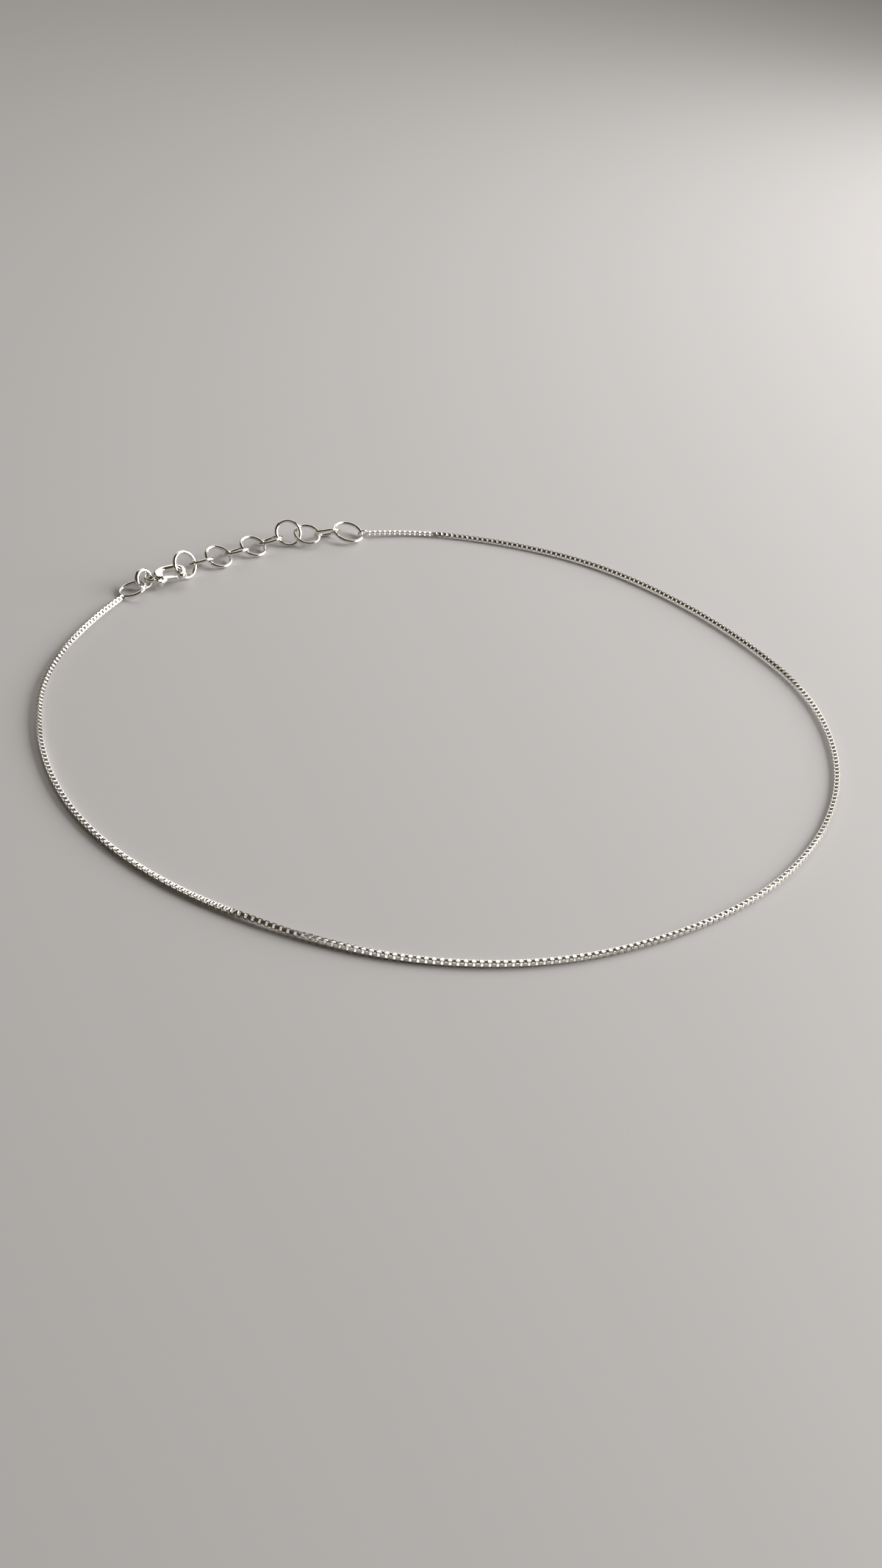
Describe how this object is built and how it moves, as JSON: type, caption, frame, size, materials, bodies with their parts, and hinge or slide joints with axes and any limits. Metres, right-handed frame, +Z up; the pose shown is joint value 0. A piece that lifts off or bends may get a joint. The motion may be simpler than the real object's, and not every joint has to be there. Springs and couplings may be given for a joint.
{
  "type": "chain anklet",
  "caption": "Fine silver box-chain anklet lying fastened in a loop, with a lobster clasp hooked into a round-link extender.",
  "frame": {"origin": "middle of the lying anklet's bounding box, on the surface it rests on", "axes": "+Z up from that surface, +Y towards the side where the extender lies, +X to the right of it, the loop's longest way"},
  "size_m": [0.0938, 0.0891, 0.0035],
  "materials": {
    "silver": "polished sterling silver"
  },
  "bodies": {
    "anklet": {"box_chain": "silver", "chain_ring": "silver", "joining_ring": "silver", "extender_link_1": "silver", "extender_link_2": "silver", "extender_link_3": "silver", "extender_link_4": "silver", "extender_link_5": "silver", "extender_link_6": "silver", "extender_link_7": "silver", "extender_link_8": "silver", "extender_link_9": "silver", "clasp_body": "silver", "clasp_pin": "silver", "jump_ring": "silver", "end_ring": "silver"},
    "clasp_lever": {"clasp_lever": "silver"}
  },
  "joints": [
    {"name": "lever_swing", "type": "hinge", "parent": "anklet", "child": "clasp_lever", "pos_m": [-0.03869, 0.02175, 0.00116], "axis": [0.0144, -0.1862, 0.9824], "range_deg": [0, 16], "stiffness_Nm_per_rad": 0.002}
  ]
}
